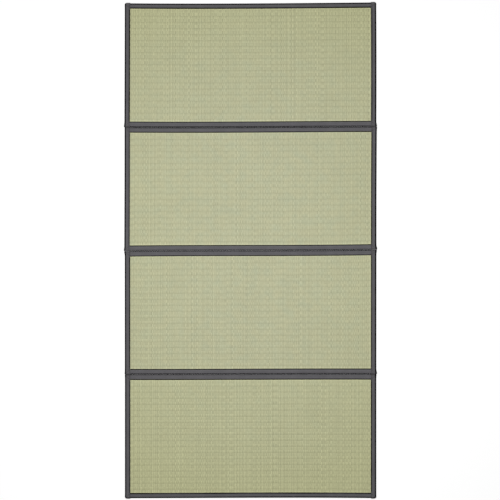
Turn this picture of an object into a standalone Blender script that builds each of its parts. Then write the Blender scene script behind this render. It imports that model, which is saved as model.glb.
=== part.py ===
"""A folding tatami mat, lying open and flat: four rush panels, each bound with cloth tape, in metres, +Z up."""

import math
from collections import namedtuple

import bmesh
import bpy
import numpy as np

MM = 0.001

# Driving dimensions of the mat
PANEL_COUNT = 4
HALF_WIDTH = 495.5 * MM
PANEL_PITCH = 486.8 * MM
THICKNESS = 15.0 * MM
TAPE_WIDTH = 21.5 * MM
GAP = 0.3 * MM

# Rush weave: a rib between each two grooves, and each second groove is the deeper one
RIB_PITCH = 11.9 * MM
DEEP_GROOVE = 0.9 * MM
SHALLOW_GROOVE = 0.5 * MM

# Cross-section of the tape, measured inwards from the panel's outline and up from the floor
TAPE_WALL = 1.5 * MM
TAPE_UNDER_WALL = 1.4 * MM
TAPE_CROWN = 15.3 * MM
TAPE_LIP = 13.3 * MM
LIP_WALL = 1.0 * MM
ROUND_HEIGHT = 7.0 * MM
TOP_ROUND = 7.5 * MM
UNDER_ROUND = 4.5 * MM

# Where a side tape laps over the end of a cross tape
LAP_CROWN = 16.0 * MM
LAP_LIP = 15.8 * MM
LAP_LENGTH = 19.0 * MM
LAP_FADE = 12.0 * MM
SWELL_LENGTH = 20.0 * MM

# Cross-section of the panel, under the tape and at the edge of the woven field
CORE_CHAMFER = 3.2 * MM
DITCH_WIDTH = 0.5 * MM
SHOULDER_RUN = 2.6 * MM
SHOULDER_DROP = 0.6 * MM
RIB_FADE = 10.0 * MM

# Share of the half width at which the five columns of EDGE_LINES are measured
LINE_PLACES = (-0.9, -0.45, 0.0, 0.45, 0.9)

# How far each line between panels runs off the straight, in millimetres towards the top of the mat
EdgeLine = namedtuple("EdgeLine", "name far_left left middle right far_right")
EDGE_LINES = (
    EdgeLine("top edge", -0.8, -1.4, -1.2, 0.8, 2.6),
    EdgeLine("fold 1", -1.5, -2.1, -1.0, 0.1, 1.3),
    EdgeLine("fold 2", -1.5, 0.0, 0.3, 1.0, 3.1),
    EdgeLine("fold 3", -0.3, 0.0, 0.7, 1.4, 1.4),
    EdgeLine("bottom edge", -0.9, -0.1, 0.7, 1.0, -0.2),
)

# How far each panel's two sides stand outside the nominal half width, in millimetres
SideLine = namedtuple("SideLine", "left_top left_middle left_bottom right_top right_middle right_bottom")
SIDE_LINES = (
    SideLine(-0.8, -0.2, 0.8, -0.9, 0.3, -0.4),
    SideLine(0.0, 0.4, 1.3, 1.8, 0.4, 0.2),
    SideLine(-0.7, -0.8, -1.0, 0.0, -0.2, -0.4),
    SideLine(-1.4, -1.4, -1.4, -0.5, -0.5, -0.5),
)

# How far each side tape's turned-in ends swell outwards, in millimetres
TapeEnds = namedtuple("TapeEnds", "left_top left_bottom right_top right_bottom")
TAPE_ENDS = (
    TapeEnds(0.4, 2.0, 0.4, 3.0),
    TapeEnds(0.2, 1.5, 1.0, 3.2),
    TapeEnds(2.3, 0.8, 1.8, 3.0),
    TapeEnds(0.5, 0.4, 1.0, 0.4),
)

# First deep groove of each panel's weave, in millimetres below the upper edge of its woven field
FIRST_GROOVE = (3.8, 1.1, 3.6, 2.0)

# An end of a side tape: how far it stands past the panel, and its roundness from above and from the side
EndShape = namedtuple("EndShape", "stand_out plan_round top_round")
MAT_CORNER = EndShape(2.7 * MM, 7.0 * MM, 4.0 * MM)
FOLD_CORNER = EndShape(-GAP / 2, 2.5 * MM, 2.5 * MM)

# Places of a side tape's cross-sections, from the panel's end: the end wall, its inner face and the lap
END_WALL = TAPE_WALL - GAP
END_PLACES = (TAPE_WALL, 4.0 * MM, 9.0 * MM, 17.0 * MM, 27.0 * MM, 36.0 * MM)
MIDDLE_SHARES = (0.25, 0.5, 0.75)

FINISHES = {
    "rush": ((0.456, 0.462, 0.292, 1.0), 0.62),
    "binding_cloth": ((0.100, 0.098, 0.107, 1.0), 0.82),
}


def clear_scene():
    for item in list(bpy.data.objects):
        bpy.data.objects.remove(item)


def finish_of(name):
    """The material of that name, made once."""
    if name in bpy.data.materials:
        return bpy.data.materials[name]
    colour, roughness = FINISHES[name]
    material = bpy.data.materials.new(name)
    material.use_nodes = True
    shader = material.node_tree.nodes["Principled BSDF"]
    shader.inputs["Base Color"].default_value = colour
    shader.inputs["Roughness"].default_value = roughness
    shader.inputs["Metallic"].default_value = 0.0
    return material


def smooth_step(share):
    share = min(max(share, 0.0), 1.0)
    return share * share * (3.0 - 2.0 * share)


def line_y(line, p):
    """Height up the mat of one of the five edge lines, at the distance p from the mat's middle."""
    bend = np.polyfit(LINE_PLACES, EDGE_LINES[line][1:], 3)
    straight = (PANEL_COUNT / 2 - line) * PANEL_PITCH
    return straight + float(np.polyval(bend, p / HALF_WIDTH)) * MM


def side_shift(panel, p, share):
    """How far the panel's side stands outside the nominal half width, at a share of its length."""
    row = SIDE_LINES[panel]
    measured = row[:3] if p < 0 else row[3:]
    return float(np.polyval(np.polyfit((0.0, 0.5, 1.0), measured, 2), share)) * MM


def place(panel, p, q, z):
    """Takes a point of the straight panel, p across from its middle and q down from its top, to the uneven mat."""
    share = q / PANEL_PITCH
    upper = line_y(panel, p)
    lower = line_y(panel + 1, p)
    x = p * (1.0 + side_shift(panel, p, share) / HALF_WIDTH)
    return (x, upper + (lower - upper) * share, z)


def add_piece(name, finish, points, faces):
    """One closed solid from its points and faces, with its faces turned outwards."""
    mesh = bpy.data.meshes.new(name)
    body = bmesh.new()
    verts = [body.verts.new(point) for point in points]
    for face in faces:
        body.faces.new([verts[index] for index in face])
    bmesh.ops.recalc_face_normals(body, faces=body.faces)
    body.to_mesh(mesh)
    body.free()
    mesh.shade_smooth()
    mesh.set_sharp_from_angle(angle=math.radians(35.0))
    mesh.materials.append(finish_of(finish))
    piece = bpy.data.objects.new(name, mesh)
    bpy.context.scene.collection.objects.link(piece)
    return piece


def lofted_piece(name, finish, sections):
    """A solid through closed sections of equal length, with its two ends filled."""
    around = len(sections[0])
    points = [point for section in sections for point in section]
    faces = [tuple(range(around)), tuple(range(len(points) - around, len(points)))]
    for row in range(len(sections) - 1):
        for index in range(around):
            after = (index + 1) % around
            here = row * around
            ahead = here + around
            faces.append((here + index, here + after, ahead + after, ahead + index))
    return add_piece(name, finish, points, faces)


def arc_of_edge(run, rise, degrees):
    """Point of the tape's rounded outer edge: 0 degrees is its outermost point, 90 where the face begins."""
    turn = math.radians(degrees)
    return (run * (1.0 - math.cos(turn)), ROUND_HEIGHT + rise * math.sin(turn))


def tape_outside(crown, lip):
    """Outer side of the tape's cross-section, from its lower lip round the edge to its upper lip."""
    under_rise = -ROUND_HEIGHT
    top_rise = crown - ROUND_HEIGHT - 0.1 * MM
    drop = crown - lip
    outline = [(TAPE_WIDTH, 0.0)]
    outline += [arc_of_edge(UNDER_ROUND, under_rise, degrees) for degrees in (90, 60, 30)]
    outline += [arc_of_edge(TOP_ROUND, top_rise, degrees) for degrees in (0, 22, 45, 67, 90)]
    outline += [(TAPE_WIDTH * 0.56, crown), (TAPE_WIDTH * 0.82, crown - 0.32 * drop)]
    outline += [(TAPE_WIDTH * 0.96, crown - 0.75 * drop), (TAPE_WIDTH, lip)]
    return outline


def tape_inside():
    """Inner side of the tape's cross-section, from its upper lip back to its lower lip."""
    top = TAPE_LIP - LIP_WALL
    under = TAPE_UNDER_WALL
    chamfer = CORE_CHAMFER + GAP * (2.0 - math.sqrt(2.0))
    return [
        (TAPE_WIDTH, top),
        (TAPE_WALL + chamfer, top),
        (TAPE_WALL, top - chamfer),
        (TAPE_WALL, under + chamfer),
        (TAPE_WALL + chamfer, under),
        (TAPE_WIDTH, under),
    ]


def cross_tape(panel, end):
    """The tape along a panel's upper or lower edge, between the side tapes."""
    section = tape_outside(TAPE_CROWN, TAPE_LIP) + tape_inside()
    half = HALF_WIDTH - TAPE_WIDTH - GAP
    sections = []
    for p in (-half,) + across_places() + (half,):
        if end == "top":
            sections.append([place(panel, p, GAP / 2 + d, z) for d, z in section])
        else:
            sections.append([place(panel, p, PANEL_PITCH - GAP / 2 - d, z) for d, z in section])
    return lofted_piece(f"cross_tape_{end}_{panel + 1}", "binding_cloth", sections)


def roundness(distance, radius):
    """How far a rounded end falls back at this distance from its tip."""
    if distance >= radius:
        return 0.0
    return radius - math.sqrt(radius * radius - (radius - distance) ** 2)


def side_section(distance, swell, shape, closed):
    """Cross-section of a side tape at a distance from the panel's end; closed is the solid end wall."""
    lap = 1.0 - smooth_step((distance - LAP_LENGTH) / LAP_FADE)
    crown = TAPE_CROWN + (LAP_CROWN - TAPE_CROWN) * lap
    lip = TAPE_LIP + (LAP_LIP - TAPE_LIP) * lap
    from_tip = distance + shape.stand_out
    outward = swell * (1.0 - smooth_step(distance / SWELL_LENGTH)) - roundness(from_tip, shape.plan_round)
    lower = 1.0 - roundness(from_tip, shape.top_round) / crown
    section = []
    for d, z in tape_outside(crown, lip):
        section.append((d - outward * (1.0 - d / TAPE_WIDTH), z * lower))
    inside = tape_inside()
    if closed:
        top, under = inside[0][1], inside[-1][1]
        steps = len(inside) - 1
        inside = [(TAPE_WIDTH, top + (under - top) * step / steps) for step in range(steps + 1)]
    return section + inside


def side_tape(panel, side):
    """The tape round a panel's left or right edge, with its ends turned in and sewn down."""
    sign = -1.0 if side == "left" else 1.0
    swells = TAPE_ENDS[panel]
    top_swell = getattr(swells, f"{side}_top") * MM
    bottom_swell = getattr(swells, f"{side}_bottom") * MM
    top_shape = MAT_CORNER if panel == 0 else FOLD_CORNER
    bottom_shape = MAT_CORNER if panel == PANEL_COUNT - 1 else FOLD_CORNER

    def end_sections(swell, shape):
        rows = [(-shape.stand_out, True), (0.35 * END_WALL - 0.65 * shape.stand_out, True), (END_WALL, True)]
        rows += [(distance, False) for distance in END_PLACES]
        return [(distance, side_section(distance, swell, shape, closed)) for distance, closed in rows]

    rows = end_sections(top_swell, top_shape)
    for share in MIDDLE_SHARES:
        rows.append((share * PANEL_PITCH, side_section(PANEL_PITCH, 0.0, FOLD_CORNER, False)))
    for distance, section in reversed(end_sections(bottom_swell, bottom_shape)):
        rows.append((PANEL_PITCH - distance, section))
    sections = []
    for q, section in rows:
        sections.append([place(panel, sign * (HALF_WIDTH - d), q, z) for d, z in section])
    return lofted_piece(f"side_tape_{side}_{panel + 1}", "binding_cloth", sections)


def across_places():
    """Distances from the middle at which the panel and its cross tapes share their points."""
    full = HALF_WIDTH - field_inset() - RIB_FADE
    return (-full, -full / 3, full / 3, full)


def field_inset():
    """From the panel's outline to the edge of its woven field, where the ditch ends."""
    return TAPE_WIDTH + DITCH_WIDTH


def core_top(distance):
    """Height of the panel's top under the tape, at a distance from its outline."""
    top = TAPE_LIP - LIP_WALL - GAP
    inset = TAPE_WALL + GAP
    return top - max(0.0, inset + CORE_CHAMFER - distance)


def core_under(distance):
    """Height of the panel's underside: drawn up under the tape, and flat on the floor inside it."""
    drawn_up = TAPE_UNDER_WALL + GAP
    inset = TAPE_WALL + GAP
    if distance < inset + CORE_CHAMFER:
        return drawn_up + inset + CORE_CHAMFER - distance
    if distance <= field_inset() + GAP:
        return drawn_up
    return 0.0


def weave_rows(panel):
    """Rows across the woven field, as distances down the panel with their heights: crests and grooves in turn."""
    start = field_inset() + SHOULDER_RUN
    end = PANEL_PITCH - start
    shoulder = THICKNESS - SHOULDER_DROP
    rows = [(start, shoulder)]
    step = RIB_PITCH / 2
    first = field_inset() + FIRST_GROOVE[panel] * MM
    count = int(PANEL_PITCH / step)
    for index in range(count):
        q = first + index * step
        if q < start + step / 2 or q > end - step / 2:
            continue
        drop = (DEEP_GROOVE, 0.0, SHALLOW_GROOVE, 0.0)[index % 4]
        rows.append((q, THICKNESS - drop))
    rows.append((end, shoulder))
    return rows


def edge_distances(size):
    """Places of the panel's main lines along one direction of the given size, from one outline to the other."""
    near = [TAPE_WALL + GAP, TAPE_WALL + GAP + CORE_CHAMFER, field_inset(), field_inset() + RIB_FADE]
    return near, [size - distance for distance in reversed(near)]


def fan(first, last, chain):
    """Triangles from the two ends of one edge to the chain of points beside it."""
    middle = len(chain) // 2
    faces = [(first, chain[index], chain[index + 1]) for index in range(middle)]
    faces.append((first, chain[middle], last))
    faces += [(last, chain[index], chain[index + 1]) for index in range(middle, len(chain) - 1)]
    return faces


def rush_panel(panel):
    """A flat panel: pinched under its tapes, with a rounded shoulder and raised ribs on its woven field."""
    near, far = edge_distances(2 * HALF_WIDTH)
    columns = [p - HALF_WIDTH for p in near + [HALF_WIDTH + p for p in across_places()[1:3]] + far]
    near, far = edge_distances(PANEL_PITCH)
    lines = near + [share * PANEL_PITCH for share in MIDDLE_SHARES] + far
    points = []
    faces = []

    def add_point(p, q, z):
        points.append(place(panel, p, q, z))
        return len(points) - 1

    def from_outline(p, q):
        return min(HALF_WIDTH - abs(p), q, PANEL_PITCH - q)

    top = [[add_point(p, q, core_top(from_outline(p, q))) for p in columns] for q in lines]
    under = [[add_point(p, q, core_under(from_outline(p, q))) for p in columns] for q in lines]
    last_line = len(lines) - 1
    last_column = len(columns) - 1
    field = range(2, last_column - 2)
    for row in range(last_line):
        for column in range(last_column):
            corners = ((row, column), (row, column + 1), (row + 1, column + 1), (row + 1, column))
            faces.append([under[r][c] for r, c in corners])
            if not (column in field and 2 <= row < last_line - 2):
                faces.append([top[r][c] for r, c in corners])
    for row in range(last_line):
        for column in (0, last_column):
            faces.append([top[row][column], top[row + 1][column], under[row + 1][column], under[row][column]])
    for column in range(last_column):
        for row in (0, last_line):
            faces.append([top[row][column], top[row][column + 1], under[row][column + 1], under[row][column]])

    shoulder = HALF_WIDTH - field_inset() - SHOULDER_RUN
    field_columns = [-shoulder] + columns[3:-3] + [shoulder]
    weave = []
    for q, height in weave_rows(panel):
        ends = THICKNESS - SHOULDER_DROP
        heights = [ends] + [height] * (len(field_columns) - 2) + [ends]
        weave.append([q, [add_point(p, q, z) for p, z in zip(field_columns, heights)]])
    for (_, upper), (_, lower) in zip(weave, weave[1:]):
        for column in range(len(field_columns) - 1):
            faces.append([upper[column], upper[column + 1], lower[column + 1], lower[column]])
    for column in range(len(field_columns) - 1):
        first, last = top[2][column + 2 : column + 4], top[last_line - 2][column + 2 : column + 4]
        faces.append([first[0], first[1], weave[0][1][column + 1], weave[0][1][column]])
        faces.append([last[0], last[1], weave[-1][1][column + 1], weave[-1][1][column]])
    for column, end in ((2, 0), (last_column - 2, -1)):
        start = 0
        for row in range(2, last_line - 2):
            stop = len(weave) - 1
            if row < last_line - 3:
                stop = next(index for index, (q, _) in enumerate(weave) if q >= lines[row + 1])
            side = [weave[index][1][end] for index in range(start, stop + 1)]
            faces += fan(top[row][column], top[row + 1][column], side)
            start = stop
    return add_piece(f"rush_panel_{panel + 1}", "rush", points, faces)


def centre_on_floor(pieces):
    """Moves the meshes so that the middle of the mat's box is over the origin."""
    corners = [vert.co for piece in pieces for vert in piece.data.vertices]
    middle_x = (min(co.x for co in corners) + max(co.x for co in corners)) / 2
    middle_y = (min(co.y for co in corners) + max(co.y for co in corners)) / 2
    for piece in pieces:
        for vert in piece.data.vertices:
            vert.co.x -= middle_x
            vert.co.y -= middle_y


def build_mat():
    clear_scene()
    pieces = []
    for panel in range(PANEL_COUNT):
        pieces.append(rush_panel(panel))
        pieces.append(cross_tape(panel, "top"))
        pieces.append(cross_tape(panel, "bottom"))
        pieces.append(side_tape(panel, "left"))
        pieces.append(side_tape(panel, "right"))
    centre_on_floor(pieces)


build_mat()
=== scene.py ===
"""Looks of a folding tatami mat: woven rush panels, cloth binding and its sewing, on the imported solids."""

import math
from collections import namedtuple

import bmesh
import bpy
import numpy as np
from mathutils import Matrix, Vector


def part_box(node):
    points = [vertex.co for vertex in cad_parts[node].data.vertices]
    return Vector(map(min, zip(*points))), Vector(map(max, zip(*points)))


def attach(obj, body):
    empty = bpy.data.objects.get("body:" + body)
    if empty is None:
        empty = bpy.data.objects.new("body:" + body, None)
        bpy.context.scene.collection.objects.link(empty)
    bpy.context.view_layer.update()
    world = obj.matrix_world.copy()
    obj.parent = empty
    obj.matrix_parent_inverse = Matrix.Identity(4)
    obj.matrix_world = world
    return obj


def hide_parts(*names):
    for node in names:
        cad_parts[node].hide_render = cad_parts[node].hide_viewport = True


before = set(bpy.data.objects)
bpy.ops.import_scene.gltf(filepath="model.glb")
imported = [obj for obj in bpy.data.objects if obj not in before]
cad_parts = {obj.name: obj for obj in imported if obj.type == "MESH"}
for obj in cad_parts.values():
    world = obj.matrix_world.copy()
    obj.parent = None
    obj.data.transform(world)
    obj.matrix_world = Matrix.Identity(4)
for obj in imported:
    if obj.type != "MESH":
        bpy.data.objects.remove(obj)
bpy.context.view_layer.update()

MM = 0.001

# The mat's own sizes, as its source gives them
PANEL_COUNT = 4
HALF_WIDTH = 495.5 * MM
PANEL_PITCH = 486.8 * MM
THICKNESS = 15.0 * MM
TAPE_WIDTH = 21.5 * MM
GAP = 0.3 * MM

TAPE_WALL = 1.5 * MM
TAPE_UNDER_WALL = 1.4 * MM
TAPE_CROWN = 15.3 * MM
TAPE_LIP = 13.3 * MM
LIP_WALL = 1.0 * MM
ROUND_HEIGHT = 7.0 * MM
TOP_ROUND = 7.5 * MM
UNDER_ROUND = 4.5 * MM
LAP_CROWN = 16.0 * MM
LAP_LIP = 15.8 * MM
LAP_LENGTH = 19.0 * MM
LAP_FADE = 12.0 * MM
SWELL_LENGTH = 20.0 * MM
CORE_CHAMFER = 3.2 * MM
FIELD_INSET = 22.0 * MM
PANEL_INSET = TAPE_WALL + GAP

# Share of the half width at which the five columns of EDGE_LINES are measured
LINE_PLACES = (-0.9, -0.45, 0.0, 0.45, 0.9)

# How far each line between panels runs off the straight, in millimetres towards the top of the mat
EdgeLine = namedtuple("EdgeLine", "name far_left left middle right far_right")
EDGE_LINES = (
    EdgeLine("top edge", -0.8, -1.4, -1.2, 0.8, 2.6),
    EdgeLine("fold 1", -1.5, -2.1, -1.0, 0.1, 1.3),
    EdgeLine("fold 2", -1.5, 0.0, 0.3, 1.0, 3.1),
    EdgeLine("fold 3", -0.3, 0.0, 0.7, 1.4, 1.4),
    EdgeLine("bottom edge", -0.9, -0.1, 0.7, 1.0, -0.2),
)

# How far each panel's two sides stand outside the nominal half width, in millimetres
SideLine = namedtuple("SideLine", "left_top left_middle left_bottom right_top right_middle right_bottom")
SIDE_LINES = (
    SideLine(-0.8, -0.2, 0.8, -0.9, 0.3, -0.4),
    SideLine(0.0, 0.4, 1.3, 1.8, 0.4, 0.2),
    SideLine(-0.7, -0.8, -1.0, 0.0, -0.2, -0.4),
    SideLine(-1.4, -1.4, -1.4, -0.5, -0.5, -0.5),
)

# How far each side tape's turned-in ends swell outwards, in millimetres
TapeEnds = namedtuple("TapeEnds", "left_top left_bottom right_top right_bottom")
TAPE_ENDS = (
    TapeEnds(0.4, 2.0, 0.4, 3.0),
    TapeEnds(0.2, 1.5, 1.0, 3.2),
    TapeEnds(2.3, 0.8, 1.8, 3.0),
    TapeEnds(0.5, 0.4, 1.0, 0.4),
)

# An end of a side tape: how far it stands past the panel, and its roundness from above and from the side
EndShape = namedtuple("EndShape", "stand_out plan_round top_round")
MAT_CORNER = EndShape(0.9 * MM, 7.0 * MM, 4.0 * MM)
FOLD_CORNER = EndShape(-GAP / 2, 2.5 * MM, 2.5 * MM)

# Rush weave: ribs across the mat, their grooves deep and shallow in turn
RIB_PITCH = 11.9 * MM
DEEP_GROOVE = 0.78 * MM
SHALLOW_GROOVE = 0.30 * MM
FIRST_GROOVE = (3.8, 1.1, 3.6, 2.0)
ROWS_IN_RIB = (0.0, 0.09, 0.26, 0.5, 0.74, 0.91)
RUSH_NEAR_EDGE = tuple(d * MM for d in (1.8, 5.0, 12.0, 18.0, 21.5, 21.8, 22.4, 23.3, 24.6, 26.6, 29.0, 32.0))
UNDER_NEAR_EDGE = tuple(d * MM for d in (1.8, 5.0, 21.8, 32.0))
UNDER_STEP = 60.0 * MM
COLUMN_STEP = 3.4 * MM
STALK_WIDTH = 1.35 * MM
STALK_RISE = 0.22 * MM
BUNDLE_WIDTH = 1.7 * COLUMN_STEP
BUNDLE_RISE = 0.25 * MM
COVER_SAG = 0.5 * MM

# The rush beside the tapes: how far its shoulder and its last rise reach, and how much painted light it has
# there
SHOULDER_RUN = 2.2 * MM
SETTLE_RISE = 0.2 * MM
SETTLE_START = 26.0 * MM
SETTLE_RUN = 8.0 * MM
PAINTED_EDGE_LIGHT = 0.15
EDGE_LIGHT_WIDTH = 5.0 * MM

# Tone of the rush: how much it differs between stalks near each other, between a stalk's own ribs and from
# column to column, its level, and how far the colour follows it, with what age adds to that
STALK_CONTRAST = 0.36
RIB_CONTRAST = 0.285
COLUMN_CONTRAST = 0.2
TONE_LEVEL = 0.45
TONE_SWING = 0.42
AGED_SWING = 0.12

# Painted shade on the rush: towards its deep grooves by its lay, in its grooves and in the gaps between
# stalks
LAY_SHADE = 0.026
GROOVE_SHADE = 0.05
GAP_SHADE = 0.25

# How yellow each panel's rush has aged at its top, middle and bottom, and how much more at its two sides
PanelAge = namedtuple("PanelAge", "top middle bottom")
PANEL_AGES = (
    PanelAge(0.82, 0.28, 0.06),
    PanelAge(0.0, 0.0, 0.0),
    PanelAge(0.02, 0.03, 0.15),
    PanelAge(0.34, 0.58, 1.0),
)
SIDE_AGE = 0.3

# Tape cloth: places of its points across the face, as shares of the tape's width, and round its edge
FACE_SHARES = (1.0, 0.975, 0.93, 0.87, 0.81, 0.765, 0.68, 0.56, 0.44, 0.33)
EDGE_DEGREES = (78, 70, 62, 46, 30, 15, 0)
UNDER_DEGREES = (30, 60, 90)
INSIDE_COUNT = 6
FACE_CURVE = 2.6
TAPE_STEP = 3.1 * MM
END_STEP = 1.5 * MM
END_ZONE = 30.0 * MM
FLAP_DIP = 0.35 * MM

# The cloth as it is cut, and its yarns
YARN_PITCH = 0.6 * MM
YARN_RISE = 0.07 * MM

# Where the painted shade of the cloth's turn over an edge starts to fade and where it ends, inwards from the
# outline
OUTER_TURN = (5.3 * MM, 6.5 * MM)
# The right side, away from the lamp, has the wider painted shade
RIGHT_TURN = (5.9 * MM, 7.0 * MM)
FOLD_TURN = (1.6 * MM, 3.6 * MM)

# How slack the cloth lies, and how fast that and its lips' painted shade change along a tape, in radians a
# metre
SLACK = 0.007
CROSS_WAVES = (31.0, 74.0, 19.0)
SIDE_WAVES = (29.0, 67.0, 23.0)

# Painted light on the cloth: share of its width where a highlight runs, how bright it is, and how much all
# over
PaintedLight = namedtuple("PaintedLight", "place ridge all_over")
OUTER_PAINTED_LIGHT = PaintedLight(0.4, 0.3, 0.0)
ABOVE_FOLD_PAINTED_LIGHT = PaintedLight(0.76, 0.45, 0.2)
BELOW_FOLD_PAINTED_LIGHT = PaintedLight(0.76, 0.15, 0.2)

# Painted shade along the lips of each panel's side tapes: how deep, and the shares of their width where it
# starts
SideLips = namedtuple("SideLips", "left right left_start right_start")
SIDE_LIPS = (
    SideLips(0.95, 0.6, 0.765, 0.72),
    SideLips(0.6, 0.95, 0.765, 0.785),
    SideLips(1.0, 0.8, 0.795, 0.78),
    SideLips(1.0, 1.0, 0.795, 0.785),
)

# How deep the painted shade is at the ends of the side tapes, at each of the five edge lines
TIP_SHADES = (0.1, 0.3, 0.3, 0.3, 0.97)

# The painted shade of the five edge lines: how deep where the cloth is turned over, at the line's left
# and right ends, how far it lies towards the foot of the mat and how much wider it is, in millimetres, how
# deep along the lips, and where those start on the tapes above and below the line
EdgeShade = namedtuple("EdgeShade", "left_turn right_turn lean widening lip above_start below_start")
EDGE_SHADES = (
    EdgeShade(1.0, 1.0, 0.0, 0.0, 0.93, 0.77, 0.77),
    EdgeShade(1.0, 1.0, 0.5, 0.5, 0.95, 0.83, 0.83),
    EdgeShade(0.5, 1.0, 0.0, 0.5, 0.95, 0.83, 0.83),
    EdgeShade(1.0, 0.9, -1.15, 0.0, 0.97, 0.83, 0.79),
    EdgeShade(1.0, 1.0, 0.0, 0.5, 0.84, 0.77, 0.77),
)

# Sewing
STITCH_INSET = 18.6 * MM
STITCH_PITCH = 6.2 * MM
STITCH_LENGTH = 4.7 * MM
STITCH_THICKNESS = 0.8 * MM
PUCKER = 0.3 * MM
LACE_PITCH = 8.7 * MM
LACE_THICKNESS = 1.3 * MM
LACE_DIP = 1.4 * MM
TWIST_PITCH = 0.9 * MM
TWIST_RISE = 0.06 * MM

# How the threads join two panels: half the lacing's width, and its height above the floor
Lacing = namedtuple("Lacing", "reach height")
LACINGS = (
    Lacing(1.8 * MM, 10.8 * MM),
    Lacing(3.4 * MM, 14.3 * MM),
    Lacing(1.8 * MM, 10.8 * MM),
)

# Colours, in linear light
STRAW = (0.401, 0.400, 0.253)
SEDGE = (0.377, 0.394, 0.260)
AGED = (0.407, 0.409, 0.230)
CLOTH_FACE = (0.0995, 0.0965, 0.1025)
# Painted light: the cloth's highlights, and the lighter tapes beside the folds
CLOTH_HIGHLIGHT = (0.129, 0.126, 0.132)
# Near black: painted shade on the cloth's lips, turned edges and tape ends
CLOTH_PAINTED_SHADE = (0.0015, 0.0015, 0.002)
# Sewing thread, as dark as the painted shade along the lips where it lies
SEWING_THREAD = (0.022, 0.021, 0.023)
LACING_THREAD = (0.088, 0.086, 0.090)
FLOOR_PALE = (0.3, 0.3, 0.3)
WHITE = (1.0, 1.0, 1.0)

# Studio: a wide floor that glows, an even sky and one soft lamp over the mat
FLOOR_SIZE = 80.0
FLOOR_GLOW = 0.71
SKY_GLOW = 0.48
LAMP_PLACE = (-0.12, 0.09, 2.35)
LAMP_SIZE = 1.2
LAMP_POWER = 47.3

# Picture: the camera looks straight down on the mat, shifted by part of a pixel
PICTURE_WIDTH = 1.9647
PICTURE_PIXELS = 500
CAMERA_SHIFT = (-0.5, 0.6)
LENS = 85.0
SENSOR = 36.0


def smooth_step(share):
    share = np.clip(share, 0.0, 1.0)
    return share * share * (3.0 - 2.0 * share)


def line_y(line, p):
    """Height up the mat of one of the five edge lines, at the distance p from the mat's middle."""
    bend = np.polyfit(LINE_PLACES, EDGE_LINES[line][1:], 3)
    straight = (PANEL_COUNT / 2 - line) * PANEL_PITCH
    return straight + np.polyval(bend, p / HALF_WIDTH) * MM


def side_shift(panel, p, share):
    """How far the panel's side stands outside the nominal half width, at a share of its length."""
    row = SIDE_LINES[panel]
    left = np.polyval(np.polyfit((0.0, 0.5, 1.0), row[:3], 2), share)
    right = np.polyval(np.polyfit((0.0, 0.5, 1.0), row[3:], 2), share)
    return np.where(p < 0, left, right) * MM


def place_uncentred(panel, p, q):
    """Takes points of the straight panel, p across from its middle and q down from its top, to the mat."""
    p = np.asarray(p, float)
    q = np.asarray(q, float)
    share = q / PANEL_PITCH
    upper = line_y(panel, p)
    lower = line_y(panel + 1, p)
    x = p * (1.0 + side_shift(panel, p, share) / HALF_WIDTH)
    return x, upper + (lower - upper) * share


def find_middle():
    """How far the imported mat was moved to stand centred, read from the first panel's box."""
    low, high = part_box("rush_panel_1")
    across = np.linspace(PANEL_INSET - HALF_WIDTH, HALF_WIDTH - PANEL_INSET, 60)
    down = np.linspace(PANEL_INSET, PANEL_PITCH - PANEL_INSET, 60)
    x, _ = place_uncentred(0, across[0], down)
    _, y = place_uncentred(0, across, down[0])
    return float(x.min() - low.x), float(y.max() - high.y)


MIDDLE_X, MIDDLE_Y = find_middle()


def place(panel, p, q, z):
    """Points of the finished mat, one row each."""
    x, y = place_uncentred(panel, p, q)
    return np.stack([x - MIDDLE_X, y - MIDDLE_Y, np.broadcast_to(z, x.shape)], axis=-1)


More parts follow.
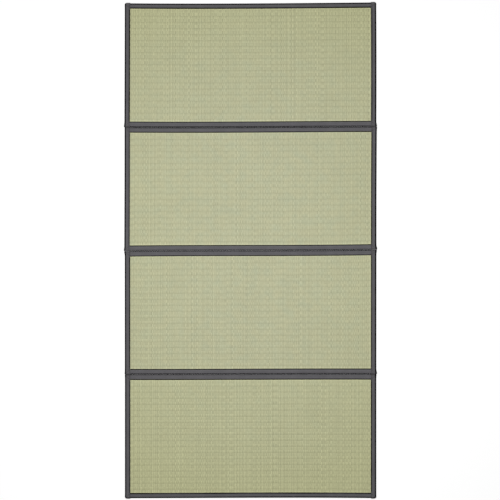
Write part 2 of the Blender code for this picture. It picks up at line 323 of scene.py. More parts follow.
class NodeBench:
    """Adds nodes to one tree, and sets or links their inputs."""

    def __init__(self, tree):
        self.tree = tree

    def add(self, kind, inputs=None, **settings):
        node = self.tree.nodes.new(kind)
        for name, value in settings.items():
            setattr(node, name, value)
        for key, value in (inputs or {}).items():
            self.feed(node.inputs[key], value)
        return node

    def feed(self, socket, value):
        if isinstance(value, bpy.types.NodeSocket):
            self.tree.links.new(value, socket)
        else:
            socket.default_value = value

    def math(self, operation, *values):
        return self.add("ShaderNodeMath", dict(enumerate(values)), operation=operation).outputs[0]

    def plus(self, first, second):
        return self.math("ADD", first, second)

    def minus(self, first, second):
        return self.math("SUBTRACT", first, second)

    def times(self, first, second):
        return self.math("MULTIPLY", first, second)

    def less(self, value, share):
        """One, less a share of the value."""
        return self.minus(1.0, self.times(value, share))

    def from_middle(self, within):
        """How far a place in a cell is from its middle: 0 there, and 1 at the cell's two sides."""
        return self.math("ABSOLUTE", self.minus(self.times(within, 2.0), 1.0))

    def scaled(self, vector, factor):
        return self.add("ShaderNodeVectorMath", {0: vector, "Scale": factor}, operation="SCALE").outputs[0]

    def vector(self, x, y, z=0.0):
        return self.add("ShaderNodeCombineXYZ", {0: x, 1: y, 2: z}).outputs[0]

    def parts(self, vector):
        return self.add("ShaderNodeSeparateXYZ", {0: vector}).outputs

    def draw(self, x, y, z):
        """A random value from 0 to 1 for each whole-numbered x, y and z."""
        cell = self.vector(x, y, z)
        return self.add("ShaderNodeTexWhiteNoise", {"Vector": cell}, noise_dimensions="3D").outputs["Value"]

    def cloud(self, vector, scale, detail=2.0):
        """Soft noise from 0 to 1."""
        noise = self.add("ShaderNodeTexNoise", {"Vector": vector, "Scale": scale, "Detail": detail})
        return noise.outputs[0]

    def ramp(self, value, low, high, to_low=0.0, to_high=1.0):
        """Value taken smoothly from low..high to to_low..to_high."""
        sockets = {0: value, 1: low, 2: high, 3: to_low, 4: to_high}
        return self.add("ShaderNodeMapRange", sockets, interpolation_type="SMOOTHSTEP").outputs[0]

    def mix(self, factor, first, second):
        """Colour between two others."""
        sockets = {0: factor, 6: first, 7: second}
        return self.add("ShaderNodeMix", sockets, data_type="RGBA").outputs[2]

    def stored(self, name):
        """A value that the mesh keeps at its points."""
        return self.add("ShaderNodeAttribute", attribute_name=name).outputs["Fac"]

    def bump(self, shader, height):
        """Shades a surface as if it were raised by a height in metres."""
        node = self.add("ShaderNodeBump", {"Height": height, "Distance": 1.0, "Strength": 1.0})
        self.feed(shader.inputs["Normal"], node.outputs[0])


def opaque(colour):
    return (*colour, 1.0)


def sockets(kind, *names):
    """Names and type of a tree's sockets of one kind."""
    return [(name, f"NodeSocket{kind}") for name in names]


def new_tree(name, kind, inputs, outputs):
    """A node group with its sockets, and the nodes at its two ends."""
    tree = bpy.data.node_groups.new(name, kind)
    for in_out, wanted in (("INPUT", inputs), ("OUTPUT", outputs)):
        for socket_name, socket_type in wanted:
            tree.interface.new_socket(socket_name, in_out=in_out, socket_type=socket_type)
    bench = NodeBench(tree)
    return bench, bench.add("NodeGroupInput"), bench.add("NodeGroupOutput")


def place_in_rib(bench, v, rib_pitch):
    """Number of the rib at v, nearness to a groove from 0 to 1, and 1 where that groove is a shallow one."""
    ribs = bench.math("DIVIDE", v, rib_pitch)
    rib = bench.math("FLOOR", ribs)
    within = bench.math("FRACT", ribs)
    nearness = bench.from_middle(within)
    groove = bench.math("FLOOR", bench.plus(ribs, 0.5))
    shallow = bench.math("FLOORED_MODULO", groove, 2.0)
    return rib, nearness, shallow


def rush_weave_group():
    """Rush woven over and under its warp, so that each stalk shows on every second rib."""
    bench, start, end = new_tree(
        "rush_weave",
        "ShaderNodeTree",
        sockets("Vector", "Place") + sockets("Float", "Stalk Width", "Stalk Rise", "Rib Pitch"),
        sockets("Float", "Stalk Tone", "Stalk Hue", "Rib Tone", "Lay", "Groove", "Gap", "Height"),
    )
    u, v, _ = bench.parts(start.outputs["Place"])
    rib, nearness, shallow = place_in_rib(bench, v, start.outputs["Rib Pitch"])
    over = bench.math("FLOORED_MODULO", rib, 2.0)
    sway = bench.cloud(bench.vector(bench.times(u, 60.0), bench.times(v, 14.0)), 1.0, 1.0)
    stalks = bench.math("DIVIDE", u, start.outputs["Stalk Width"])
    stalks = bench.plus(stalks, bench.times(over, 0.5))
    stalks = bench.plus(stalks, bench.times(sway, 0.9))
    stalk = bench.math("FLOOR", stalks)
    within = bench.math("FRACT", stalks)
    side = bench.from_middle(within)
    roundness = bench.minus(1.0, bench.math("POWER", side, 2.4))
    sink = bench.math("POWER", nearness, 5.0)
    height = bench.times(roundness, start.outputs["Stalk Rise"])
    height = bench.minus(height, bench.times(sink, start.outputs["Stalk Rise"]))
    strength = bench.less(shallow, 0.6)
    own = bench.draw(stalk, over, 1.7)
    beside = bench.draw(bench.minus(stalk, 3.0), over, 1.7)
    contrast = bench.times(bench.minus(own, beside), STALK_CONTRAST)
    under = bench.minus(1.0, over)
    alone = bench.minus(bench.draw(stalk, over, 2.9), bench.draw(stalk, under, 2.9))
    alone = bench.times(alone, RIB_CONTRAST)
    column = bench.draw(stalk, 0.0, 4.4)
    column_beside = bench.draw(bench.minus(stalk, 3.0), 0.0, 4.4)
    column_beside = bench.times(column_beside, 0.5)
    both = bench.times(bench.minus(column, column_beside), COLUMN_CONTRAST)
    tone = bench.plus(bench.plus(contrast, alone), both)
    bench.feed(end.inputs["Stalk Tone"], bench.plus(tone, TONE_LEVEL))
    wave = bench.math("COSINE", bench.times(bench.math("DIVIDE", v, start.outputs["Rib Pitch"]), math.pi))
    bench.feed(end.inputs["Lay"], wave)
    bench.feed(end.inputs["Stalk Hue"], bench.draw(stalk, over, 5.1))
    bench.feed(end.inputs["Rib Tone"], bench.draw(stalk, rib, 9.3))
    fading = bench.cloud(bench.vector(bench.times(u, 18.0), bench.times(v, 18.0)), 1.0, 1.0)
    strength = bench.times(strength, bench.ramp(fading, 0.4, 0.6))
    bench.feed(end.inputs["Groove"], bench.times(bench.math("POWER", nearness, 4.0), strength))
    bench.feed(end.inputs["Gap"], bench.ramp(side, 0.72, 1.0))
    bench.feed(end.inputs["Height"], height)
    return bench.tree


def uneven_tone_group():
    """Slow changes of tone over a surface, for rush and cloth alike."""
    bench, start, end = new_tree(
        "uneven_tone",
        "ShaderNodeTree",
        sockets("Vector", "Place") + sockets("Float", "Patches Per Metre", "Strength"),
        sockets("Float", "Tone"),
    )
    broad = bench.cloud(start.outputs["Place"], start.outputs["Patches Per Metre"], 4.0)
    centred = bench.minus(broad, 0.5)
    swing = bench.times(centred, start.outputs["Strength"])
    bench.feed(end.inputs["Tone"], bench.plus(1.0, swing))
    return bench.tree


def plain_weave_group():
    """Plain weave of the binding cloth: height of its yarns, the gaps between them and the tone of each."""
    bench, start, end = new_tree(
        "plain_weave",
        "ShaderNodeTree",
        sockets("Vector", "Place") + sockets("Float", "Yarn Pitch", "Yarn Rise"),
        sockets("Float", "Height", "Gap", "Yarn Tone"),
    )
    u, v, _ = bench.parts(start.outputs["Place"])
    pitch = start.outputs["Yarn Pitch"]
    waves = []
    cells = []
    for direction in (u, v):
        turns = bench.math("DIVIDE", direction, pitch)
        cells.append(bench.math("FLOOR", turns))
        waves.append(bench.math("SINE", bench.times(turns, math.pi)))
    crossing = bench.times(waves[0], waves[1])
    bench.feed(end.inputs["Height"], bench.times(crossing, start.outputs["Yarn Rise"]))
    bench.feed(end.inputs["Gap"], bench.ramp(bench.math("ABSOLUTE", crossing), 0.35, 0.0))
    bench.feed(end.inputs["Yarn Tone"], bench.draw(cells[0], cells[1], 3.3))
    return bench.tree


RUSH_WEAVE = rush_weave_group()
UNEVEN_TONE = uneven_tone_group()
PLAIN_WEAVE = plain_weave_group()


def uneven_tone(bench, where, patches_per_metre, strength):
    """A tone about 1 that changes slowly over a surface."""
    values = {"Place": where, "Patches Per Metre": patches_per_metre, "Strength": strength}
    return bench.add("ShaderNodeGroup", values, node_tree=UNEVEN_TONE).outputs["Tone"]


def blank_material(name, roughness, specular):
    material = bpy.data.materials.new(name)
    material.use_nodes = True
    shader = material.node_tree.nodes["Principled BSDF"]
    shader.inputs["Roughness"].default_value = roughness
    shader.inputs["Specular IOR Level"].default_value = specular
    return material, NodeBench(material.node_tree), shader


def rush_material():
    """Dried rush: pale green stalks, each of its own tone, with painted shade in its grooves and between
    stalks.
    """
    material, bench, shader = blank_material("dried_rush", 0.6, 0.25)
    where = bench.add("ShaderNodeUVMap", uv_map="weave").outputs[0]
    values = {"Place": where, "Stalk Width": STALK_WIDTH, "Stalk Rise": STALK_RISE, "Rib Pitch": RIB_PITCH}
    weave = bench.add("ShaderNodeGroup", values, node_tree=RUSH_WEAVE).outputs
    age = bench.stored("age")
    green = bench.times(weave["Stalk Hue"], 0.4)
    green = bench.plus(green, bench.times(uneven_tone(bench, where, 24.0, 1.8), 2.0))
    green = bench.ramp(green, 1.6, 3.2)
    colour = bench.mix(green, opaque(STRAW), opaque(SEDGE))
    colour = bench.mix(age, colour, opaque(AGED))
    swing = bench.plus(TONE_SWING, bench.times(age, AGED_SWING))
    factors = (
        bench.plus(1.0, bench.times(bench.minus(weave["Stalk Tone"], 0.5), swing)),
        bench.plus(0.94, bench.times(weave["Rib Tone"], 0.12)),
        # Painted shade: towards the deep grooves, in the grooves and between stalks
        bench.less(weave["Lay"], LAY_SHADE),
        bench.less(weave["Groove"], GROOVE_SHADE),
        bench.less(weave["Gap"], GAP_SHADE),
        # Painted light beside the tapes
        bench.plus(1.0, bench.times(bench.stored("pale"), PAINTED_EDGE_LIGHT)),
        uneven_tone(bench, where, 7.0, 0.10),
    )
    for factor in factors:
        colour = bench.scaled(colour, factor)
    bench.feed(shader.inputs["Base Color"], colour)
    bench.feed(shader.inputs["Roughness"], bench.ramp(weave["Stalk Tone"], 0.0, 1.0, 0.5, 0.68))
    bench.bump(shader, weave["Height"])
    return material


def cloth_material():
    """Charcoal binding cloth in plain weave, with painted light and highlights and near-black painted shade.
    """
    material, bench, shader = blank_material("charcoal_binding", 0.85, 0.0)
    where = bench.add("ShaderNodeUVMap", uv_map="weave").outputs[0]
    values = {"Place": where, "Yarn Pitch": YARN_PITCH, "Yarn Rise": YARN_RISE}
    weave = bench.add("ShaderNodeGroup", values, node_tree=PLAIN_WEAVE).outputs
    # Painted light: highlights along the tapes, and lighter tapes beside the folds
    colour = bench.mix(bench.stored("highlight"), opaque(CLOTH_FACE), opaque(CLOTH_HIGHLIGHT))
    factors = (
        bench.plus(0.9, bench.times(weave["Yarn Tone"], 0.2)),
        # Painted shade in the gaps between yarns
        bench.less(weave["Gap"], 0.35),
        uneven_tone(bench, where, 28.0, 0.35),
    )
    for factor in factors:
        colour = bench.scaled(colour, factor)
    # Painted shade: the cloth goes near black along its lips, over its turned edges and at the tape ends
    colour = bench.mix(bench.stored("fold"), colour, opaque(CLOTH_PAINTED_SHADE))
    bench.feed(shader.inputs["Base Color"], colour)
    bench.bump(shader, weave["Height"])
    return material


def thread_material(name, dye):
    """Waxed thread, with its twist."""
    material, bench, shader = blank_material(name, 0.6, 0.25)
    where = bench.add("ShaderNodeTexCoord").outputs["Object"]
    bench.feed(shader.inputs["Base Color"], bench.scaled(dye, uneven_tone(bench, where, 90.0, 0.5)))
    x, y, z = bench.parts(where)
    along = bench.plus(bench.plus(x, y), z)
    twist = bench.math("SINE", bench.times(along, 2.0 * math.pi / TWIST_PITCH))
    bench.bump(shader, bench.times(twist, TWIST_RISE))
    return material


def linked(name, data):
    """A new object in the scene."""
    made = bpy.data.objects.new(name, data)
    bpy.context.scene.collection.objects.link(made)
    return made


def mesh_object(name, points, faces, weave=None):
    """An object at the origin; weave gives each point's place in the cloth, in metres, for its UV map."""
    mesh = bpy.data.meshes.new(name)
    mesh.from_pydata([tuple(point) for point in points], [], faces)
    body = bmesh.new()
    body.from_mesh(mesh)
    bmesh.ops.recalc_face_normals(body, faces=body.faces)
    body.to_mesh(mesh)
    body.free()
    if weave is not None:
        corners = np.empty(len(mesh.loops), int)
        mesh.loops.foreach_get("vertex_index", corners)
        layer = mesh.uv_layers.new(name="weave")
        layer.data.foreach_set("uv", np.asarray(weave, np.float32)[corners].ravel())
    mesh.shade_smooth()
    return linked(name, mesh)


def point_values(piece, name, values):
    layer = piece.data.attributes.new(name, "FLOAT", "POINT")
    layer.data.foreach_set("value", np.asarray(values, np.float32).ravel())


def grown(piece, tree, values):
    """The plain mesh that a Geometry Nodes tree makes of a piece, in a piece's place."""
    modifier = piece.modifiers.new(tree.name, "NODES")
    modifier.node_group = tree
    for socket in tree.interface.items_tree:
        if socket.item_type == "SOCKET" and socket.in_out == "INPUT" and socket.name in values:
            modifier[socket.identifier] = values[socket.name]
    bpy.context.view_layer.update()
    made = bpy.data.meshes.new_from_object(piece.evaluated_get(bpy.context.evaluated_depsgraph_get()))
    piece.modifiers.remove(modifier)
    piece.data = made
    made.shade_smooth()
    return piece


def finish_piece(piece):
    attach(piece, "root")


def clad(bench, end, geometry, material):
    """Ends a tree of Geometry Nodes with its geometry made real, in its material."""
    real = bench.add("GeometryNodeRealizeInstances", {"Geometry": geometry})
    done = bench.add("GeometryNodeSetMaterial", {"Geometry": real.outputs[0], "Material": material})
    bench.feed(end.inputs["Geometry"], done.outputs[0])
    return bench.tree


def rush_relief_tree():
    """Ribs and grooves of woven rush, raised on the open field of a panel."""
    weave_sizes = ("Rib Pitch", "Deep Groove", "Shallow Groove", "Bundle Width", "Bundle Rise", "Sag", "Seed")
    bench, start, end = new_tree(
        "rush_relief",
        "GeometryNodeTree",
        sockets("Geometry", "Geometry") + sockets("Float", *weave_sizes) + sockets("Material", "Material"),
        sockets("Geometry", "Geometry"),
    )
    given = start.outputs
    weave = bench.add("GeometryNodeInputNamedAttribute", {"Name": "weave"}, data_type="FLOAT_VECTOR")
    field = bench.add("GeometryNodeInputNamedAttribute", {"Name": "field"}, data_type="FLOAT")
    u, v, _ = bench.parts(weave.outputs["Attribute"])
    rib, nearness, shallow = place_in_rib(bench, v, given["Rib Pitch"])
    difference = bench.minus(given["Shallow Groove"], given["Deep Groove"])
    depth = bench.plus(given["Deep Groove"], bench.times(shallow, difference))
    drop = bench.times(depth, bench.math("POWER", nearness, 3.0))
    over = bench.math("FLOORED_MODULO", rib, 2.0)
    bundle = bench.math("FLOOR", bench.math("DIVIDE", u, given["Bundle Width"]))
    draw = bench.minus(bench.draw(bundle, over, given["Seed"]), 0.5)
    rise = bench.times(draw, given["Bundle Rise"])
    rise = bench.times(rise, bench.minus(1.0, bench.math("POWER", nearness, 3.0)))
    broad = bench.cloud(bench.vector(u, v, given["Seed"]), 6.0, 1.0)
    sag = bench.times(bench.minus(broad, 0.8), given["Sag"])
    total = bench.plus(bench.minus(rise, drop), sag)
    total = bench.times(total, field.outputs["Attribute"])
    offset = bench.vector(0.0, 0.0, total)
    raised = bench.add("GeometryNodeSetPosition", {"Geometry": given["Geometry"], "Offset": offset})
    return clad(bench, end, raised.outputs[0], given["Material"])


def even_steps(start, stop, step):
    """Evenly spaced places from start to stop, about a step apart."""
    count = max(1, round((stop - start) / step))
    return [start + (stop - start) * index / count for index in range(count + 1)]


def edge_to_edge(near, size, step):
    """Places across a whole size: those near each of its edges, and even steps between."""
    return list(near) + even_steps(near[-1], size - near[-1], step)[1:-1] + [size - d for d in reversed(near)]


def rush_rows(panel):
    """Distances down the panel of its rows of points: close together in each groove."""
    near = list(RUSH_NEAR_EDGE)
    first = FIELD_INSET + FIRST_GROOVE[panel] * MM
    rows = []
    for rib in range(int(PANEL_PITCH / RIB_PITCH) + 1):
        for share in ROWS_IN_RIB:
            q = first + (rib + share) * RIB_PITCH
            if near[-1] + 1.0 * MM < q < PANEL_PITCH - near[-1] - 1.0 * MM:
                rows.append(q)
    return near + rows + [PANEL_PITCH - d for d in reversed(near)]


def rush_top(distance):
    """Height of the cover's top at a distance from the outline: pinched under the tape, then rounded up."""
    lowest = TAPE_LIP - LIP_WALL - GAP
    chamfer = np.maximum(0.0, PANEL_INSET + CORE_CHAMFER - distance)
    climb = np.clip((distance - TAPE_WIDTH) / SHOULDER_RUN, 0.0, 1.0)
    shoulder = np.sqrt(1.0 - (1.0 - climb) ** 2) * (THICKNESS - SETTLE_RISE - lowest)
    settle = SETTLE_RISE * smooth_step((distance - SETTLE_START) / SETTLE_RUN)
    return lowest - chamfer + shoulder + settle


def rush_under(distance):
    """Height of the cover's underside: drawn up under the tape, and flat on the floor inside it."""
    drawn_up = TAPE_UNDER_WALL + GAP
    chamfer = np.maximum(0.0, PANEL_INSET + CORE_CHAMFER - distance)
    return np.where(distance <= FIELD_INSET + GAP, drawn_up + chamfer, 0.0)


def painted_edge_light(p, q):
    """Painted light on the rush beside a tape, most beside the cross tapes and where the rush rises."""
    from_cross_tape = np.minimum(q, PANEL_PITCH - q) - TAPE_WIDTH
    from_right_tape = HALF_WIDTH - p - TAPE_WIDTH
    nearest = np.minimum(HALF_WIDTH - abs(p) - TAPE_WIDTH, from_cross_tape)
    beside_cross = 1.0 - smooth_step((from_cross_tape - EDGE_LIGHT_WIDTH / 2) / EDGE_LIGHT_WIDTH)
    beside_right = 1.0 - smooth_step((from_right_tape - EDGE_LIGHT_WIDTH / 2) / EDGE_LIGHT_WIDTH)
    rising = 1.0 - smooth_step(nearest / (2.4 * MM))
    return np.maximum(beside_cross, 0.8 * beside_right) + 1.2 * rising


def fan(first, last, chain):
    """Triangles from the two ends of one edge to the chain of points beside it."""
    middle = len(chain) // 2
    faces = [(first, chain[index], chain[index + 1]) for index in range(middle)]
    faces.append((first, chain[middle], last))
    faces += [(last, chain[index], chain[index + 1]) for index in range(middle, len(chain) - 1)]
    return faces


def sparse_of(dense, size):
    """Numbers of the dense places that the sparse grid of the underside keeps."""
    wanted = edge_to_edge(UNDER_NEAR_EDGE, size, UNDER_STEP)
    return sorted({int(np.argmin([abs(d - kept) for d in dense])) for kept in wanted})


def cover_faces(columns, rows, under_columns, under_rows):
    """Faces of a cover: its top's grid, its underside's sparse grid, and the fans that join them."""

    def top(row, column):
        return row * len(columns) + column

    def under(row, column):
        return len(rows) * len(columns) + row * len(under_columns) + column

    faces = []
    for row, column in np.ndindex(len(rows) - 1, len(columns) - 1):
        corners = ((row, column), (row + 1, column), (row + 1, column + 1), (row, column + 1))
        faces.append([top(*corner) for corner in corners])
    for row, column in np.ndindex(len(under_rows) - 1, len(under_columns) - 1):
        corners = ((row, column), (row, column + 1), (row + 1, column + 1), (row + 1, column))
        faces.append([under(*corner) for corner in corners])
    for number, (start, stop) in enumerate(zip(under_columns, under_columns[1:])):
        for row, under_row in ((0, 0), (len(rows) - 1, len(under_rows) - 1)):
            chain = [top(row, column) for column in range(start, stop + 1)]
            faces += fan(under(under_row, number), under(under_row, number + 1), chain)
    for number, (start, stop) in enumerate(zip(under_rows, under_rows[1:])):
        for column, under_column in ((0, 0), (len(columns) - 1, len(under_columns) - 1)):
            chain = [top(row, column) for row in range(start, stop + 1)]
            faces += fan(under(number, under_column), under(number + 1, under_column), chain)
    return faces


def rush_cover(panel, tree, finish):
    """The woven cover of one panel, top and underside, with its ribs in its surface."""
    columns = edge_to_edge(RUSH_NEAR_EDGE, 2 * HALF_WIDTH, COLUMN_STEP)
    rows = rush_rows(panel)
    under_columns = sparse_of(columns, 2 * HALF_WIDTH)
    under_rows = sparse_of(rows, PANEL_PITCH)
    p_top, q_top = np.meshgrid(np.array(columns) - HALF_WIDTH, np.array(rows))
    p_under, q_under = np.meshgrid(
        np.array([columns[c] for c in under_columns]) - HALF_WIDTH, np.array([rows[r] for r in under_rows])
    )
    p = np.concatenate([p_top.ravel(), p_under.ravel()])
    q = np.concatenate([q_top.ravel(), q_under.ravel()])
    distance = np.minimum(HALF_WIDTH - abs(p), np.minimum(q, PANEL_PITCH - q))
    is_top = np.arange(len(p)) < p_top.size
    z = np.where(is_top, rush_top(distance), rush_under(distance))
    first = FIELD_INSET + FIRST_GROOVE[panel] * MM
    weave = np.stack([p + HALF_WIDTH + 1.3 * panel, q - first + 4 * RIB_PITCH], axis=-1)
    faces = cover_faces(columns, rows, under_columns, under_rows)
    cover = mesh_object(f"rush_cover_{panel + 1}", place(panel, p, q, z), faces, weave)
    point_values(cover, "field", is_top * smooth_step((distance - FIELD_INSET) / (5.0 * MM)))
    age = np.interp(q / PANEL_PITCH, (0.0, 0.5, 1.0), PANEL_AGES[panel]) + SIDE_AGE * (p / HALF_WIDTH) ** 2
    point_values(cover, "age", np.clip(age, 0.0, 1.0))
    # Painted light beside the tapes, for the rush's material
    point_values(cover, "pale", painted_edge_light(p, q))
    values = {
        "Rib Pitch": RIB_PITCH,
        "Deep Groove": DEEP_GROOVE,
        "Shallow Groove": SHALLOW_GROOVE,
        "Bundle Width": BUNDLE_WIDTH,
        "Bundle Rise": BUNDLE_RISE,
        "Sag": COVER_SAG,
        "Seed": float(panel + 2),
        "Material": finish,
    }
    grown(cover, tree, values)
    finish_piece(cover)
    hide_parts(f"rush_panel_{panel + 1}")
    return cover


def tape_section(crown, lip):
    """Outside of a tape's cross-section, from its upper lip round to its lower one: distances and heights."""
    points = []
    for share in FACE_SHARES:
        fall = max(0.0, (share - 0.5) / 0.5) ** FACE_CURVE
        points.append((TAPE_WIDTH * share, crown - (crown - lip) * fall))
    for degrees in EDGE_DEGREES:
        turn = math.radians(degrees)
        rise = crown - ROUND_HEIGHT
        points.append((TOP_ROUND * (1.0 - math.cos(turn)), ROUND_HEIGHT + rise * math.sin(turn)))
    for degrees in UNDER_DEGREES:
        turn = math.radians(degrees)
        points.append((UNDER_ROUND * (1.0 - math.cos(turn)), ROUND_HEIGHT * (1.0 - math.sin(turn))))
    points.append((TAPE_WIDTH, 0.0))
    return np.array(points)


def tape_inside():
    """Inner side of the tape's cross-section, from its lower lip back to its upper lip."""
    top = TAPE_LIP - LIP_WALL
    under = TAPE_UNDER_WALL
    chamfer = CORE_CHAMFER + GAP * (2.0 - math.sqrt(2.0))
    return np.array(
        [
            (TAPE_WIDTH, under),
            (TAPE_WALL + chamfer, under),
            (TAPE_WALL, under + chamfer),
            (TAPE_WALL, top - chamfer),
            (TAPE_WALL + chamfer, top),
            (TAPE_WIDTH, top),
        ]
    )


def roundness(distance, radius):
    """How far a rounded end falls back at this distance from its tip."""
    short = min(max(radius - distance, 0.0), radius)
    return radius - math.sqrt(radius * radius - short * short)


def upper_half(z):
    """Whether a point of a tape lies on the upper half of the mat's edge, from 0 to 1."""
    return smooth_step((z - 6.0 * MM) / (4.0 * MM))


def painted_cloth_shade(d, z, turn_band, lip_start):
    """Painted shade on the cloth, along its drawn-in lip and where it turns over its outer edge."""
    lip = smooth_step((d / TAPE_WIDTH - lip_start) / 0.06)
    full, none = turn_band
    turn = smooth_step((none - d) / (none - full)) * upper_half(z)
    return lip, turn


def painted_light_at(d, light_band):
    """How much painted light the cloth has at a distance from the outline."""
    return light_band.all_over + light_band.ridge * np.exp(-(((d / TAPE_WIDTH - light_band.place) / 0.09) ** 2))


def slackened(z, crown, along, waves, draws):
    """Heights of the cloth where it lies a little slack, more in some places along the tape."""
    slack = math.sin(along * waves[0] + draws[0]) + 0.6 * math.sin(along * waves[1] + draws[1])
    return z * (1.0 - SLACK * (1.0 + 0.6 * slack) * (z / crown) ** 2)


def pucker(d, along):
    """How far the stitches draw the cloth down."""
    near = np.exp(-(((d - STITCH_INSET) / (1.5 * MM)) ** 2))
    return PUCKER * near * (0.5 + 0.5 * math.cos(2.0 * math.pi * along / STITCH_PITCH))


def tube_faces(rings, around):
    """Faces of a closed tube through rings of points, with a cap at each end."""
    size = rings * around
    faces = [tuple(range(around)), tuple(range(size - around, size))]
    for ring in range(rings - 1):
        for index in range(around):
            after = (index + 1) % around
            here = ring * around
            ahead = here + around
            faces.append((here + index, here + after, ahead + after, ahead + index))
    return faces


def tape_piece(name, finish, rows):
    """A closed tape through its rows, each of points, places in the weave, painted shade and painted light.
    """
    points, weave, shade, highlight = (np.concatenate(values) for values in zip(*rows))
    faces = tube_faces(len(rows), len(rows[0][0]))
    tape = mesh_object(name, points, faces, weave)
    tape.data.set_sharp_from_angle(angle=math.radians(50.0))
    tape.data.materials.append(finish)
    # Painted shade and painted light, kept at the points for the cloth's material
    point_values(tape, "fold", shade)
    point_values(tape, "highlight", highlight)
    return tape


def around_lengths(section):
    """Length round the cloth to each point of its cross-section, from the upper lip."""
    steps = np.linalg.norm(np.diff(section, axis=0), axis=1)
    return np.concatenate([[0.0], np.cumsum(steps)])


def cross_tape_rows(panel, end, seed):
    """Rows of the tape along a panel's upper or lower edge."""
    half = HALF_WIDTH - TAPE_WIDTH - GAP
    draws = np.random.default_rng(seed).uniform(0.0, 2.0 * math.pi, 4)
    line = panel if end == "top" else panel + 1
    outermost = line in (0, PANEL_COUNT)
    look = EDGE_SHADES[line]
    wider = (look.widening + (look.lean if end == "top" else -look.lean)) * MM
    turn_band = [limit + wider for limit in (OUTER_TURN if outermost else FOLD_TURN)]
    lip_start = look.below_start if end == "top" else look.above_start
    light_band = ABOVE_FOLD_PAINTED_LIGHT if end == "bottom" else BELOW_FOLD_PAINTED_LIGHT
    if outermost:
        light_band = OUTER_PAINTED_LIGHT
    rows = []
    for p in even_steps(-half, half, TAPE_STEP):
        outside = tape_section(TAPE_CROWN, TAPE_LIP)
        d, z = outside[:, 0].copy(), outside[:, 1].copy()
        z[: len(FACE_SHARES)] -= pucker(d[: len(FACE_SHARES)], p)
        z = slackened(z, TAPE_CROWN, p, CROSS_WAVES, draws)
        # Painted shade along the lip and over the turned edge
        lip, turn = painted_cloth_shade(d, z, turn_band, lip_start)
        uneven = look.lip + (1.0 - look.lip) * math.sin(p * CROSS_WAVES[2] + draws[2])
        depth = look.left_turn + (look.right_turn - look.left_turn) * (0.5 + 0.5 * p / HALF_WIDTH)
        shade = np.concatenate([np.maximum(lip * uneven, turn * depth), np.ones(INSIDE_COUNT)])
        section = np.concatenate([np.stack([d, z], axis=-1), tape_inside()])
        weave = np.stack([np.full(len(section), p + HALF_WIDTH), around_lengths(section)], axis=-1)
        highlight = painted_light_at(section[:, 0], light_band)
        from_end = GAP / 2 + section[:, 0]
        q = from_end if end == "top" else PANEL_PITCH - from_end
        points = place(panel, np.full(len(section), p), q, section[:, 1])
        rows.append((points, weave, shade, highlight))
    return rows


def end_places(shape):
    """Distances from a panel's end of the rows of points at an end of a side tape."""
    wall = TAPE_WALL - GAP
    rounding = [shape.plan_round * share - shape.stand_out for share in (0.0, 0.04, 0.12, 0.28)]
    outer = [d for d in rounding if d < wall - 0.2 * MM]
    return outer + [wall, TAPE_WALL] + even_steps(3.0 * MM, END_ZONE, END_STEP)


def side_outside(q, distance, lap, crown, draws):
    """Outside of a side tape's cross-section: distances, heights, and how far it flaps over a cross tape."""
    outside = tape_section(crown, TAPE_LIP + (LAP_LIP - TAPE_LIP) * lap)
    d, z = outside[:, 0].copy(), outside[:, 1].copy()
    face = slice(0, len(FACE_SHARES))
    z[face] -= pucker(d[face], q)
    flap = float(smooth_step((distance - 2.0 * MM) / (3.0 * MM))) * lap
    z[face] -= FLAP_DIP * flap * smooth_step((distance - d[face]) / (1.5 * MM) + 0.5)
    return d, slackened(z, crown, q, SIDE_WAVES, draws), flap


def side_inside(distance):
    """Inner side of a side tape's cross-section, closed up where the tape's end stands past the panel."""
    inside = tape_inside()
    if distance <= TAPE_WALL - GAP:
        inside[:, 0] = TAPE_WIDTH
        inside[:, 1] = np.linspace(inside[0, 1], inside[-1, 1], INSIDE_COUNT)
    return inside


